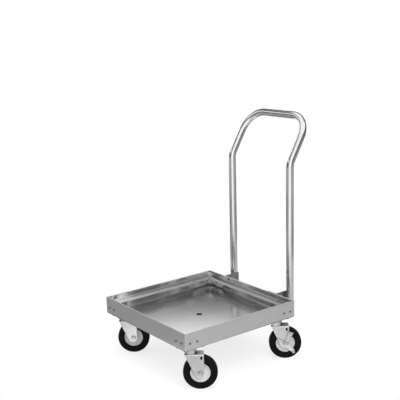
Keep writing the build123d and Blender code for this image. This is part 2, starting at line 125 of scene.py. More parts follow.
class NodeBoard:
    """A node tree with short calls for adding nodes and filling their sockets."""

    VECTOR_SUMS_TO_NUMBER = ("DOT_PRODUCT", "LENGTH")

    def __init__(self, tree: bpy.types.NodeTree) -> None:
        """Take the tree to work on."""
        self.tree = tree

    def fill(self, target: Socket, term: Socket | float | Triple | Colour) -> None:
        """Fill a socket.

        Args:
            target: The socket to fill.
            term: Another socket to link from, or a plain value.
        """
        if isinstance(term, bpy.types.NodeSocket):
            self.tree.links.new(term, target)
        else:
            target.default_value = term

    def add(self, kind: str, terms: dict | None = None, **settings: object) -> bpy.types.Node:
        """Add one node.

        Args:
            kind: The node's type name.
            terms: Sockets or plain values for its inputs, by socket name or number.
            settings: Properties of the node itself.

        Returns:
            The new node.
        """
        node = self.tree.nodes.new(kind)
        for key, value in settings.items():
            setattr(node, key, value)
        for key, term in (terms or {}).items():
            self.fill(node.inputs[key], term)
        return node

    def number_sum(self, operation: str, *terms: Socket | float) -> Socket:
        """Work out a sum on numbers.

        Args:
            operation: The node's name for the sum.
            terms: Sockets or plain numbers, in the node's order.

        Returns:
            The result's socket.
        """
        return self.add("ShaderNodeMath", dict(enumerate(terms)), operation=operation).outputs["Value"]

    def vector_sum(self, operation: str, *terms: Socket | Vector | Triple) -> Socket:
        """Work out a sum on vectors.

        Args:
            operation: The node's name for the sum.
            terms: Sockets or plain vectors, in the node's order.

        Returns:
            The result's socket, a number or a vector.
        """
        node = self.add("ShaderNodeVectorMath", dict(enumerate(terms)), operation=operation)
        return node.outputs["Value" if operation in self.VECTOR_SUMS_TO_NUMBER else "Vector"]

    def remap(self, source: Socket, found: Pair, wanted: Pair, **settings: object) -> Socket:
        """Map one range of values onto another.

        Args:
            source: The socket to map.
            found: The range that it has.
            wanted: The range that it gets.
            settings: Properties of the node itself.

        Returns:
            The mapped socket.
        """
        terms = {"Value": source, "From Min": found[0], "From Max": found[1],
                 "To Min": wanted[0], "To Max": wanted[1]}
        return self.add("ShaderNodeMapRange", terms, **settings).outputs["Result"]

    def place(self) -> Socket:
        """Add the surface's place in Object coordinates."""
        return self.add("ShaderNodeTexCoord").outputs["Object"]

    def arm_from(self, point: Vector) -> Socket:
        """Add the vector from a point to the surface's place."""
        return self.vector_sum("SUBTRACT", self.place(), point)


class ShaderSheet(NodeBoard):
    """A material's nodes, with the steps that the finishes share."""

    NOISE_RANGE = (0.3, 0.7)
    SEAM_SHADE_RANGE = (0.45, 0.8)
    SEAM_SHADE_SAMPLES = 6
    EDGE_SAMPLES = 4

    def __init__(self, name: str) -> None:
        """Start a material with a Principled shader and nothing else.

        Args:
            name: The material's name.
        """
        self.material = bpy.data.materials.new(name)
        self.material.use_nodes = True
        super().__init__(self.material.node_tree)
        self.shader = self.tree.nodes["Principled BSDF"]
        self.surface = self.tree.nodes["Material Output"].inputs["Surface"]
        self.colour = self.shader.inputs["Base Color"]
        self.noises: dict[Noise, Socket] = {}

    def noise(self, noise: Noise, grain: Grain) -> Socket:
        """Add noise, or find it again where the material already has it.

        Args:
            noise: What the noise is like.
            grain: The material's grain, for noise that follows it.

        Returns:
            The noise's Fac socket.
        """
        if noise not in self.noises:
            shares = grain.value if noise.grained else Grain.EVEN.value
            stretch = tuple(noise.scale * share for share in shares)
            turn = self.add("ShaderNodeMapping", {"Vector": self.place(), "Scale": stretch})
            terms = {"Vector": turn.outputs["Vector"], "Scale": 1.0, "Detail": noise.detail,
                     "Roughness": noise.roughness}
            self.noises[noise] = self.add("ShaderNodeTexNoise", terms).outputs["Fac"]
        return self.noises[noise]

    def tint(self, source: Socket, tone: float, shares: Pair, warmths: Pair) -> None:
        """Colour the surface between two tones by noise.

        Args:
            source: The noise's socket.
            tone: The surface's own tone.
            shares: The shares of that tone where the noise is low and high.
            warmths: The casts where the noise is low and high.
        """
        ramp = self.add("ShaderNodeValToRGB", {"Fac": source})
        stops = ramp.color_ramp.elements
        for stop, position, share, warmth in zip(stops, self.NOISE_RANGE, shares, warmths):
            stop.position = position
            stop.color = grey(tone * share, warmth)
        self.fill(self.colour, ramp.outputs["Color"])

    def roughen(self, source: Socket, rough: float, shift: Pair) -> None:
        """Vary the surface's roughness by noise.

        Args:
            source: The noise's socket.
            rough: The surface's own roughness.
            shift: What is added to it where the noise is low and high.
        """
        varied = self.remap(source, self.NOISE_RANGE, (rough + shift[0], rough + shift[1]))
        self.fill(self.shader.inputs["Roughness"], varied)

    def mix_in(self, factor: Socket | float, second: Socket | Colour, blend_type: str = "MIX") -> None:
        """Mix another colour into the surface's colour.

        Args:
            factor: How much of it there is.
            second: The other colour.
            blend_type: How the two are mixed.
        """
        terms = {MixSocket.FACTOR: factor, MixSocket.FIRST: self.colour.links[0].from_socket,
                 MixSocket.SECOND: second}
        blend = self.add("ShaderNodeMix", terms, data_type="RGBA", blend_type=blend_type)
        self.fill(self.colour, blend.outputs[MixSocket.RESULT])

    def shade_round(self, shade: Shade) -> None:
        """Paint shade into the colour inside an upright hole.

        Args:
            shade: The painted shade inside the hole.
        """
        level = self.vector_sum("MULTIPLY", self.arm_from(shade.middle), (1.0, 1.0, 0.0))
        inside = self.number_sum("LESS_THAN", self.vector_sum("LENGTH", level), shade.radius)
        self.mix_in(inside, grey(shade.tone))

    def paint_seam_shade(self, reach: float, tone: float) -> None:
        """Paint shade into the colour where surfaces meet and close under other parts, found by ambient
        occlusion.

        Args:
            reach: How far from the seam the shade reaches.
            tone: The share of the colour that is left in the seam itself.
        """
        # Painted shade: ambient occlusion darkens the colour near other surfaces, where shade falls.
        seam = self.add("ShaderNodeAmbientOcclusion", {"Distance": reach}, samples=self.SEAM_SHADE_SAMPLES)
        self.mix_in(1.0, self.remap(seam.outputs["AO"], self.SEAM_SHADE_RANGE, (tone, 1.0)), "MULTIPLY")

    def relief(self, source: Socket, depth: float, edge: float) -> None:
        """Raise the surface by noise, and round the light along its edges.

        Args:
            source: The noise's socket.
            depth: The height of the relief in metres.
            edge: The radius that sharp edges seem to have, or nothing.
        """
        bump = self.add("ShaderNodeBump", {"Height": source, "Distance": depth, "Strength": 1.0})
        if edge:
            rounded = self.add("ShaderNodeBevel", {"Radius": edge}, samples=self.EDGE_SAMPLES)
            self.fill(bump.inputs["Normal"], rounded.outputs["Normal"])
        self.fill(self.shader.inputs["Normal"], bump.outputs["Normal"])

    def glow(self, strength: Socket | float) -> Socket:
        """Add a white light of the given strength."""
        return self.add("ShaderNodeEmission", {"Color": WHITE, "Strength": strength}).outputs["Emission"]


@dataclass(frozen=True)
class Finish:
    """A surface whose tone and roughness vary by noise, with a fine relief, and where set, painted shade in a
    hole and along seams.
    """

    name: str
    tone: float
    _: KW_ONLY
    tone_shares: Pair
    rough: float
    rough_shift: Pair
    depth: float
    tinting: Noise
    roughening: Noise
    raising: Noise
    grain: Grain = Grain.EVEN
    warmths: Pair = (0.0, 0.0)
    metallic: float = 1.0
    specular: float = 0.5
    edge: float = 0.0
    hole: Shade | None = None
    # Painted shade near other surfaces: how far it reaches and the share of colour left in the seam.
    seam_shade_reach: float = 0.0
    seam_shade_tone: float = 0.35

    def material(self) -> bpy.types.Material:
        """Build the material.

        Returns:
            The material.
        """
        sheet = ShaderSheet(self.name)
        sheet.shader.inputs["Metallic"].default_value = self.metallic
        sheet.shader.inputs["Specular IOR Level"].default_value = self.specular
        sheet.tint(sheet.noise(self.tinting, self.grain), self.tone, self.tone_shares, self.warmths)
        sheet.roughen(sheet.noise(self.roughening, self.grain), self.rough, self.rough_shift)
        sheet.relief(sheet.noise(self.raising, self.grain), self.depth, self.edge)
        # Painted shade inside a hole.
        if self.hole:
            sheet.shade_round(self.hole)
        # Painted shade where surfaces meet.
        if self.seam_shade_reach:
            sheet.paint_seam_shade(self.seam_shade_reach, self.seam_shade_tone)
        return sheet.material


@dataclass(frozen=True)
class BrushedSheet(Finish):
    """Brushed stainless sheet: fine parallel scratches over a slightly cloudy metal."""

    tone_shares: Pair = (0.96, 1.03)
    rough: float = 0.17
    rough_shift: Pair = (-0.02, 0.03)
    depth: float = 0.000004
    edge: float = 0.0012
    # Painted shade along seams, within a couple of millimetres of other surfaces.
    seam_shade_reach: float = 0.0022
    tinting: Noise = Noise(scale=9.0, detail=4.0)
    roughening: Noise = Noise(scale=1500.0, detail=3.0, grained=True)
    raising: Noise = roughening


@dataclass(frozen=True)
class PolishedTube(Finish):
    """Polished stainless tube with faint lines along it."""

    tone: float = 0.88
    tone_shares: Pair = (0.96, 1.03)
    rough: float = 0.17
    rough_shift: Pair = (-0.03, 0.05)
    depth: float = 0.000006
    grain: Grain = Grain.ALONG_Z
    tinting: Noise = Noise(scale=14.0, detail=3.0)
    roughening: Noise = Noise(scale=700.0, detail=2.0, grained=True)
    raising: Noise = roughening


@dataclass(frozen=True)
class ZincPlate(Finish):
    """Bright zinc on pressed steel: small soft patches and light handling marks."""

    tone_shares: Pair = (0.9, 1.06)
    warmths: Pair = (-0.01, 0.005)
    rough: float = 0.3
    rough_shift: Pair = (-0.08, 0.12)
    depth: float = 0.00006
    edge: float = 0.0006
    # Painted shade along seams, within six millimetres of other surfaces.
    seam_shade_reach: float = 0.006
    tinting: Noise = Noise(scale=160.0, detail=5.0)
    roughening: Noise = Noise(scale=45.0, detail=6.0)
    raising: Noise = tinting


@dataclass(frozen=True)
class MouldedPlastic(Finish):
    """Moulded plastic with a fine texture and slight flow marks."""

    tone_shares: Pair = (0.94, 1.03)
    rough: float = 0.42
    rough_shift: Pair = (-0.05, 0.08)
    metallic: float = 0.0
    depth: float = 0.00003
    tinting: Noise = Noise(scale=30.0, detail=3.0)
    roughening: Noise = tinting
    raising: Noise = Noise(scale=1800.0, detail=2.0)


@dataclass(frozen=True)
class TyreRubber(Finish):
    """Black rubber with a fine grain and a trace of dust."""

    tone: float = 0.003
    tone_shares: Pair = (1.0, 1.9)
    rough: float = 0.5
    rough_shift: Pair = (-0.06, 0.12)
    metallic: float = 0.0
    specular: float = 0.07
    depth: float = 0.00008
    tinting: Noise = Noise(scale=26.0, detail=6.0)
    roughening: Noise = tinting
    raising: Noise = Noise(scale=900.0, detail=3.0)


@dataclass(frozen=True)
class WeldBead(Finish):
    """A small weld: dull metal with close ripples across its run."""

    tone: float = 0.5
    tone_shares: Pair = (0.85, 1.05)
    warmths: Pair = (0.01, 0.01)
    rough: float = 0.38
    rough_shift: Pair = (-0.05, 0.1)
    depth: float = 0.0003
    grain: Grain = Grain.RIPPLED
    tinting: Noise = Noise(scale=120.0, detail=4.0)
    roughening: Noise = tinting
    raising: Noise = Noise(scale=260.0, detail=1.0, grained=True)


@dataclass(frozen=True)
class Spindle:
    """A straight line that turned pieces are made about."""

    start: Vector
    way: Vector

    def at(self, radius: float, along: float) -> Vector:
        """Find a point beside the line.

        Args:
            radius: How far the point is from the line.
            along: How far along the line it is from the start.

        Returns:
            The point, in the row frame.
        """
        aside = self.way.orthogonal().normalized()
        return self.start + aside * radius + self.way * along

    def measure(self, point: Vector) -> Pair:
        """Say where a point is.

        Args:
            point: The point, in the row frame.

        Returns:
            Its radius and its distance along the line.
        """
        arm = point - self.start
        along = arm.dot(self.way)
        return (arm - self.way * along).length, along


@dataclass(frozen=True)
class Riding:
    """What a new piece rides on, a slot name, and which nodes it stands for."""

    body: str
    slot: str
    replaced: tuple[str, ...] = ()


class Blank:
    """A mesh in the making, with the shop's operations on it."""

    CHAMFER_STEPS = 2

    def __init__(self) -> None:
        """Start with an empty mesh."""
        self.mesh = bmesh.new()

    def turn(self, spindle: Spindle, outline: Outline, steps: int, ring: bool = True) -> None:
        """Turn an outline all the way round a spindle.

        Args:
            spindle: The line to turn about.
            outline: Points as radius and distance along the spindle.
            steps: How many steps go round.
            ring: True for a closed outline clear of the spindle, False for one that starts and ends on it.
        """
        points = [self.mesh.verts.new(spindle.at(*point)) for point in outline]
        followers = points[1:] + points[:1] if ring else points[1:]
        edges = [self.mesh.edges.new(pair) for pair in zip(points, followers)]
        bmesh.ops.spin(self.mesh, geom=points + edges, axis=spindle.way, cent=spindle.start, steps=steps,
                       angle=2 * pi, use_merge=True)

    def hexagon(self, spindle: Spindle, flats: float, low: float, high: float, chamfer: float) -> None:
        """Add a hexagonal head or nut with its corners cut back.

        Args:
            spindle: The line through its middle.
            flats: Its width across the flats.
            low: Where it starts along the spindle.
            high: Where it ends.
            chamfer: How far its corners are cut back.
        """
        turn = spindle.way.to_track_quat("Z", "Y").to_matrix().to_4x4()
        place = Matrix.Translation(spindle.start + spindle.way * (low + high) / 2) @ turn
        radius = flats / 2 / HEXAGON_SHARE
        made = bmesh.ops.create_cone(self.mesh, cap_ends=True, segments=6, radius1=radius, radius2=radius,
                                     depth=high - low, matrix=place)
        bmesh.ops.bevel(self.mesh, geom=made["verts"], affect="VERTICES", offset=chamfer,
                        segments=self.CHAMFER_STEPS, profile=ROUND_PROFILE, material=-1)

    def finish(self, name: str, material: bpy.types.Material, riding: Riding,
               crease: float = 40.0) -> bpy.types.Object:
        """Clean the mesh and turn it into a named piece of the object.

        Args:
            name: The piece's name.
            material: Its finish.
            riding: What it rides on and stands for.
            crease: The angle in degrees above which an edge looks sharp.

        Returns:
            The piece.
        """
        bmesh.ops.remove_doubles(self.mesh, verts=self.mesh.verts, dist=MERGE_DISTANCE)
        bmesh.ops.recalc_face_normals(self.mesh, faces=self.mesh.faces)
        for face in self.mesh.faces:
            face.smooth = face.calc_area() < FLAT_FACE
        piece = object_of(name, self.mesh, material)
        piece.data.set_sharp_from_angle(angle=radians(crease))
        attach(piece, riding.body)
        if riding.replaced:
            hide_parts(*riding.replaced)
        LOG.info("%s: %d faces", name, len(piece.data.polygons))
        return piece


def object_of(name: str, mesh: bmesh.types.BMesh, material: bpy.types.Material) -> bpy.types.Object:
    """Turn a mesh in the making into an object of the scene.

    Args:
        name: The object's name.
        mesh: Its mesh, which is used up.
        material: Its material.

    Returns:
        The object.
    """
    data = bpy.data.meshes.new(name)
    mesh.to_mesh(data)
    mesh.free()
    data.materials.append(material)
    made = bpy.data.objects.new(name, data)
    bpy.context.scene.collection.objects.link(made)
    return made


def verts_in(geometry: list) -> list[bmesh.types.BMVert]:
    """Pick the corners out of an operation's results."""
    return [part for part in geometry if isinstance(part, bmesh.types.BMVert)]


def solids_of(node: str) -> list[list[Vector]]:
    """Find the separate solids of a CAD node.

    Args:
        node: The node's name.

    Returns:
        The corner points of each solid.
    """
    mesh = bmesh.new()
    mesh.from_mesh(frame["nodes"][node].data)
    bmesh.ops.remove_doubles(mesh, verts=mesh.verts, dist=MERGE_DISTANCE)
    waiting = set(mesh.verts)
    solids = []
    while waiting:
        solid, front = [], [waiting.pop()]
        while front:
            corner = front.pop()
            solid.append(corner.co.copy())
            for edge in corner.link_edges:
                other = edge.other_vert(corner)
                if other in waiting:
                    waiting.remove(other)
                    front.append(other)
        solids.append(solid)
    mesh.free()
    return solids


def tray_middle() -> Vector:
    """Find the middle of the tray, on the floor."""
    low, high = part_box("floor_pan")
    return Vector(((low.x + high.x) / 2, (low.y + high.y) / 2, 0.0))


def axle_line(corner: str) -> Spindle:
    """Find the line of one wheel's axle.

    Args:
        corner: The caster's corner of the tray.

    Returns:
        The line from the wheel's middle, along the axle.
    """
    joint = next(joint for joint in frame["joints"] if joint["name"] == f"wheel_spin_{corner}")
    return Spindle(Vector(joint["pos_m"]), Vector(joint["axis"]).normalized())


def arc(centre: Pair, radius: float, start: float, finish: float, steps: int) -> Outline:
    """Find points along an arc of an outline.

    Args:
        centre: The arc's centre, as radius and distance along.
        radius: The arc's own radius.
        start: Its first angle in degrees.
        finish: Its last angle in degrees.
        steps: How many steps it takes.

    Returns:
        The points, both ends included.
    """
    angles = [radians(start + (finish - start) * step / steps) for step in range(steps + 1)]
    return [(centre[0] + radius * cos(angle), centre[1] + radius * sin(angle)) for angle in angles]


def thread_outline(radius: float, start: float, finish: float, pitch: float, depth: float) -> Outline:
    """Find the zigzag outline of a short length of thread.

    Args:
        radius: The bolt's radius.
        start: Where the threads start along the bolt.
        finish: Where they end.
        pitch: The distance from crest to crest.
        depth: The depth of the groove.

    Returns:
        The outline, from start to finish.
    """
    count = max(1, round((finish - start) / pitch))
    step = (finish - start) / count
    outline = [(radius - depth, start)]
    for turn in range(count):
        outline.append((radius, start + (turn + 0.5) * step))
        outline.append((radius - depth, start + (turn + 1) * step))
    return outline


@dataclass(frozen=True)
class PhotoCamera:
    """The photograph's viewpoint, aimed from the middle of the tray."""

    azimuth: float = 52.812
    elevation: float = 12.400
    roll: float = -1.479
    distance: float = 3.174496
    focal_pixels: float = 798.178
    frame_pixels: float = 400.0
    sensor: float = 36.0
    aim: Triple = (-0.072908, 0.073763, 0.609658)

    def build(self, middle: Vector) -> None:
        """Make the camera and set it as the scene's own.

        Args:
            middle: The middle of the tray, on the floor.
        """
        turn, lift, tip = radians(self.azimuth), radians(self.elevation), radians(self.roll)
        back = Vector((sin(turn) * cos(lift), -cos(turn) * cos(lift), sin(lift)))
        level = Vector((cos(turn), sin(turn), 0.0))
        upward = back.cross(level)
        right = level * cos(tip) + upward * sin(tip)
        top = upward * cos(tip) - level * sin(tip)
        place = middle + Vector(self.aim) + back * self.distance
        data = bpy.data.cameras.new("photo_camera")
        data.sensor_width = self.sensor
        data.sensor_fit = "HORIZONTAL"
        data.lens = self.sensor * self.focal_pixels / self.frame_pixels
        camera = bpy.data.objects.new("photo_camera", data)
        camera.matrix_world = Matrix.Translation(place) @ Matrix((right, top, back)).transposed().to_4x4()
        bpy.context.scene.collection.objects.link(camera)
        bpy.context.scene.camera = camera


@dataclass(frozen=True)
class Panel:
    """A curved panel that bright metal shows in its reflections, shaded up its height."""

    name: str
    heading: float
    spread: float
    height: Pair
    tones: Pair
    fade: Pair = (0.0, 1.0)
    distance: float = 2.6


@dataclass(frozen=True)
class Ring:
    """A ring on the floor that bright metal mirrors, shaded towards one side.

    Its tones are those of the far and the bright side, and gleam is what a narrow stretch at the
    front adds to them.
    """

    name: str
    side: Triple
    tones: Pair
    gleam: float


@dataclass(frozen=True)
class Lamp:
    """A large soft lamp, placed from the middle of the tray."""

    name: str
    place: Triple
    size: float
    power: float


@dataclass
class Studio:
    """The pale floor, the even surroundings, the soft lamps and what the metal mirrors."""

    middle: Vector
    floor_size: float = 60.0
    floor_tone: float = 0.86
    floor_rough: float = 0.9
    fade: Pair = (0.1, 0.8)
    fade_shares: Pair = (0.7, 1.0)
    surround: float = 0.55
    ring_height: float = 0.002
    ring_steps: int = 96
    ring_radii: tuple[float, ...] = (0.42, 1.1, 1.6, 8.0)
    rings: tuple[Ring, ...] = (
        Ring("near_ring", side=NEAR_SIDE, tones=(0.325, 0.535), gleam=0.1),
        Ring("middle_ring", side=NEAR_SIDE, tones=(0.325, 0.535), gleam=0.45),
        Ring("far_ring", side=FAR_SIDE, tones=(0.16, 0.28), gleam=0.85),
    )
    gleam_power: float = 4.0
    panel_steps: int = 24
    panels: tuple[Panel, ...] = (
        Panel("right_flag", heading=37.2, spread=76.0, height=(0.0, 2.1), tones=(0.42, 0.12),
              fade=(0.3, 0.75)),
        Panel("left_flag", heading=232.0, spread=106.0, height=(0.0, 3.6), tones=(0.42, 0.12),
              fade=(0.3, 0.75)),
        Panel("rear_right_flag", heading=97.0, spread=44.0, height=(0.0, 3.6), tones=(0.08, 0.08)),
        Panel("rear_left_flag", heading=189.0, spread=44.0, height=(0.0, 3.6), tones=(0.08, 0.08)),
        Panel("rear_flag", heading=142.8, spread=110.0, height=(1.3, 3.6), tones=(0.1, 0.1)),
        Panel("rear_card", heading=142.8, spread=54.0, height=(0.0, 1.1), tones=(0.12, 1.25),
              fade=(0.49, 0.66), distance=0.95),
        Panel("left_strip", heading=212.0, spread=90.0, height=(1.7, 2.35), tones=(1.1, 1.1), distance=2.5),
        Panel("front_card", heading=-37.2, spread=60.0, height=(0.4, 2.2), tones=(1.12, 1.12)),
    )
    lamps: tuple[Lamp, ...] = (
        Lamp("key_lamp", place=(2.4, -0.9, 2.6), size=2.2, power=95.0),
        Lamp("fill_lamp", place=(-1.8, -2.6, 2.0), size=2.4, power=45.0),
        Lamp("top_lamp", place=(0.2, 0.4, 3.4), size=2.6, power=60.0),
    )

    def build(self) -> None:
        """Make the floor, what the metal mirrors, the world and the lamps."""
        self.lay_floor()
        for ring, radii in zip(self.rings, zip(self.ring_radii, self.ring_radii[1:])):
            self.lay_ring(ring, radii)
        for panel in self.panels:
            self.stand_panel(panel)
        self.light_world()
        for lamp in self.lamps:
            self.hang_lamp(lamp)

    def lay_floor(self) -> None:
        """Make the floor, white far away and keeping the soft shadow near the object."""
        mesh = bmesh.new()
        bmesh.ops.create_grid(mesh, x_segments=1, y_segments=1, size=self.floor_size / 2)
        sheet = ShaderSheet("studio_floor")
        sheet.colour.default_value = grey(self.floor_tone)
        sheet.shader.inputs["Roughness"].default_value = self.floor_rough
        sheet.shader.inputs["Specular IOR Level"].default_value = 0.0
        reach = sheet.vector_sum("LENGTH", sheet.arm_from(self.middle))
        white = sheet.remap(reach, self.fade, self.fade_shares, interpolation_type="SMOOTHSTEP")
        path = sheet.add("ShaderNodeLightPath").outputs
        seen = sheet.number_sum("MAXIMUM", path["Is Camera Ray"], path["Is Glossy Ray"])
        terms = {"Fac": sheet.number_sum("MULTIPLY", seen, white), 1: sheet.shader.outputs["BSDF"],
                 2: sheet.glow(1.0)}
        sheet.fill(sheet.surface, sheet.add("ShaderNodeMixShader", terms).outputs["Shader"])
        object_of("studio_floor", mesh, sheet.material)

    def lay_ring(self, ring: Ring, radii: Pair) -> None:
        """Lay a ring on the floor, for the dark edges of bright metal.

        Args:
            ring: What the ring is like.
            radii: Its inner and outer radius.
        """
        mesh = bmesh.new()
        bmesh.ops.create_circle(mesh, segments=self.ring_steps, radius=radii[1])
        drawn = bmesh.ops.extrude_edge_only(mesh, edges=list(mesh.edges))["geom"]
        bmesh.ops.scale(mesh, vec=Vector((1, 1, 1)) * (radii[0] / radii[1]), verts=verts_in(drawn))
        bmesh.ops.translate(mesh, vec=self.middle + UP * self.ring_height, verts=mesh.verts)
        sheet = ShaderSheet(ring.name)
        heading = sheet.vector_sum("NORMALIZE", sheet.arm_from(self.middle))
        level = sheet.remap(sheet.vector_sum("DOT_PRODUCT", heading, ring.side), (-1.0, 1.0), ring.tones)
        ahead = sheet.number_sum("MAXIMUM", sheet.vector_sum("DOT_PRODUCT", heading, FAR_SIDE), 0.0)
        narrow = sheet.number_sum("POWER", ahead, self.gleam_power)
        tone = sheet.number_sum("MULTIPLY_ADD", narrow, ring.gleam, level)
        sheet.fill(sheet.surface, sheet.glow(tone))
        self.show_to_gloss(object_of(ring.name, mesh, sheet.material))

    def stand_panel(self, panel: Panel) -> None:
        """Stand a curved panel round part of the object.

        Args:
            panel: What the panel is like and where it stands.
        """
        mesh = bmesh.new()
        first = radians(panel.heading - panel.spread / 2)
        reach = Vector((cos(first), sin(first), 0.0)) * panel.distance
        post = [mesh.verts.new(reach + UP * height) for height in panel.height]
        bmesh.ops.spin(mesh, geom=post + [mesh.edges.new(post)], axis=UP, cent=(0, 0, 0),
                       steps=self.panel_steps, angle=radians(panel.spread), use_duplicate=False)
        bmesh.ops.translate(mesh, vec=self.middle, verts=mesh.verts)
        sheet = ShaderSheet(panel.name)
        height = sheet.add("ShaderNodeSeparateXYZ", {"Vector": sheet.place()}).outputs["Z"]
        sheet.fill(sheet.surface, sheet.glow(sheet.remap(height, panel.fade, panel.tones)))
        self.show_to_gloss(object_of(panel.name, mesh, sheet.material))

    @staticmethod
    def show_to_gloss(thing: bpy.types.Object) -> None:
        """Hide an object from every kind of ray but gloss.

        Args:
            thing: The object.
        """
        for ray in ("camera", "diffuse", "shadow", "transmission", "volume_scatter"):
            setattr(thing, f"visible_{ray}", False)

    def light_world(self) -> None:
        """Light the object plainly from all round, and show white to the camera and in gloss."""
        world = bpy.data.worlds.new("studio_world")
        world.use_nodes = True
        bpy.context.scene.world = world
        board = NodeBoard(world.node_tree)
        path = board.add("ShaderNodeLightPath").outputs
        seen = board.number_sum("MAXIMUM", path["Is Camera Ray"], path["Is Glossy Ray"])
        seen = board.number_sum("MAXIMUM", seen, path["Is Transmission Ray"])
        background = board.tree.nodes["Background"].inputs
        board.fill(background["Strength"], board.remap(seen, (0.0, 1.0), (self.surround, 1.0)))
        board.fill(background["Color"], WHITE)

    def hang_lamp(self, lamp: Lamp) -> None:
        """Hang one soft lamp, facing the middle of the tray.

        Args:
            lamp: What the lamp is like and where it hangs.
        """
        data = bpy.data.lights.new(lamp.name, "AREA")
        data.shape = "SQUARE"
        data.size = lamp.size
        data.energy = lamp.power
        hung = bpy.data.objects.new(lamp.name, data)
        hung.location = self.middle + Vector(lamp.place)
        hung.rotation_euler = (self.middle - hung.location).to_track_quat("-Z", "Y").to_euler()
        hung.visible_glossy = False
        bpy.context.scene.collection.objects.link(hung)


@dataclass
class FoldedRail:
    """A strip of sheet folded along its length and mitred at both ends, as one side of the tray."""

    side: str
    sheet: float = 0.0015
    mitre_gap: float = 0.00015
    bend_steps: int = 5
    crease: float = 50.0

    def build(self, name: str, folds: list[Triple], material: bpy.types.Material,
              riding: Riding) -> bpy.types.Object:
        """Fold the strip, give it thickness, mitre its ends and set it on its side of the tray.

        Args:
            name: The piece's name.
            folds: The strip's outer line, as distance inward, height and outside bend radius of each fold.
            material: Its finish.
            riding: What it rides on and stands for.

        Returns:
            The piece.
        """
        low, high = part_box("floor_pan")
        size = high - low
        length, depth = (size.x, size.y) if self.side in SIDES_ALONG_X else (size.y, size.x)
        half, distance = length / 2, depth / 2
        turn = Matrix.Rotation(radians(90.0 * SIDES.index(self.side)), 4, "Z")
        blank = Blank()
        mesh = blank.mesh
        line = [mesh.verts.new((-half, inward - distance, height)) for inward, height, _ in folds]
        chain = [mesh.edges.new(pair) for pair in zip(line, line[1:])]
        drawn = bmesh.ops.extrude_edge_only(mesh, edges=chain)["geom"]
        bmesh.ops.translate(mesh, vec=Vector((length, 0, 0)), verts=verts_in(drawn))
        self.face_outward(mesh)
        for inward, height, radius in folds:
            if radius:
                self.bend(mesh, inward - distance, height, radius)
        bmesh.ops.solidify(mesh, geom=list(mesh.faces), thickness=self.sheet)
        for end in (-1, 1):
            bmesh.ops.bisect_plane(mesh, geom=mesh.verts[:] + mesh.edges[:] + mesh.faces[:], clear_outer=True,
                                   plane_co=Vector((end * (half - self.mitre_gap), -distance, 0)),
                                   plane_no=Vector((end, 1, 0)))
        bmesh.ops.holes_fill(mesh, edges=[edge for edge in mesh.edges if edge.is_boundary], sides=0)
        bmesh.ops.transform(mesh, matrix=Matrix.Translation(tray_middle()) @ turn, verts=mesh.verts)
        return blank.finish(name, material, riding, self.crease)

    @staticmethod
    def face_outward(mesh: bmesh.types.BMesh) -> None:
        """Turn the strip's faces so that the tall outer one looks away from the tray.

        Args:
            mesh: The strip, along the front side.
        """
        bmesh.ops.recalc_face_normals(mesh, faces=mesh.faces)
        tall = max(mesh.faces, key=lambda face: face.calc_area())
        if tall.normal.y > 0:
            bmesh.ops.reverse_faces(mesh, faces=mesh.faces)

    def bend(self, mesh: bmesh.types.BMesh, y: float, z: float, radius: float) -> None:
        """Round one fold of the strip.

        Args:
            mesh: The strip, along the front side.
            y: The fold's place across the strip.
            z: Its height.
            radius: Its outside radius.
        """
        crease = [edge for edge in mesh.edges if len(edge.link_faces) == 2
                  and all(abs(vert.co.y - y) < MERGE_DISTANCE and abs(vert.co.z - z) < MERGE_DISTANCE
                          for vert in edge.verts)]
        bmesh.ops.bevel(mesh, geom=crease, affect="EDGES", offset=radius, segments=self.bend_steps,
                        profile=ROUND_PROFILE, material=-1)


